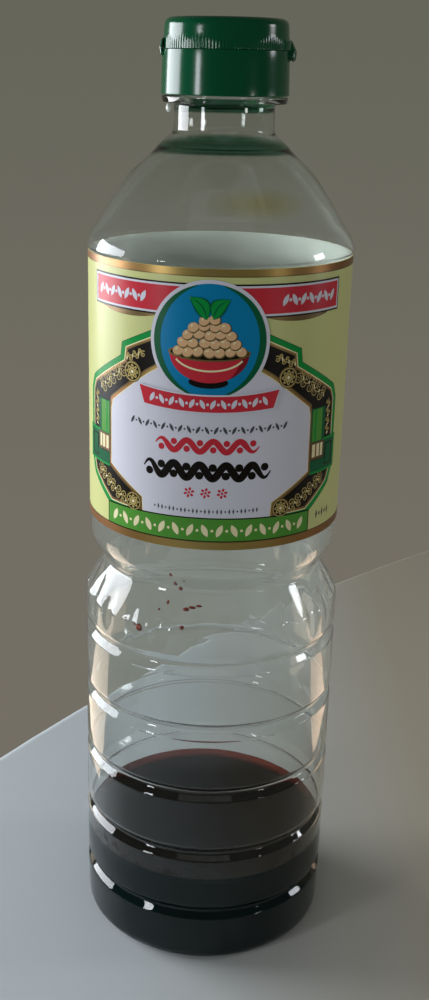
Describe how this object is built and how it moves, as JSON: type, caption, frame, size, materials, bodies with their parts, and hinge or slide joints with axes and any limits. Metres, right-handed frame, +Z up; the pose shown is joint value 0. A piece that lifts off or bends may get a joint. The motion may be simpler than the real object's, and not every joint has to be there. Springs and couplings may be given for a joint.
{
  "type": "soy sauce bottle",
  "caption": "Clear one-litre plastic soy sauce bottle with ring grooves and a fluted waist, a wrap label, a little dark sauce left inside, and a green cap with a hinged flip-top lid.",
  "frame": {"origin": "middle of the foot, on the surface the bottle stands on", "axes": "+Z up along the bottle, -Y out of the front of the label, +X towards the lid's thumb tab, with the lid's hinge on -X"},
  "size_m": [0.0788, 0.0788, 0.2815],
  "materials": {
    "clear_plastic": "clear blown PET, glossy",
    "soy_sauce": "near-black liquid",
    "printed_film": "printed plastic film, satin",
    "green_plastic": "moulded, glossy"
  },
  "bodies": {
    "root": {"bottle": "clear_plastic", "sauce": "soy_sauce", "label": "printed_film", "cap_base": "green_plastic"},
    "lid": {"cap_lid": "green_plastic"}
  },
  "joints": [
    {"name": "lid_hinge", "type": "hinge", "parent": "root", "child": "lid", "pos_m": [-0.0178, 0, 0.274], "axis": [0, -1, 0], "range_deg": [0, 135]}
  ]
}
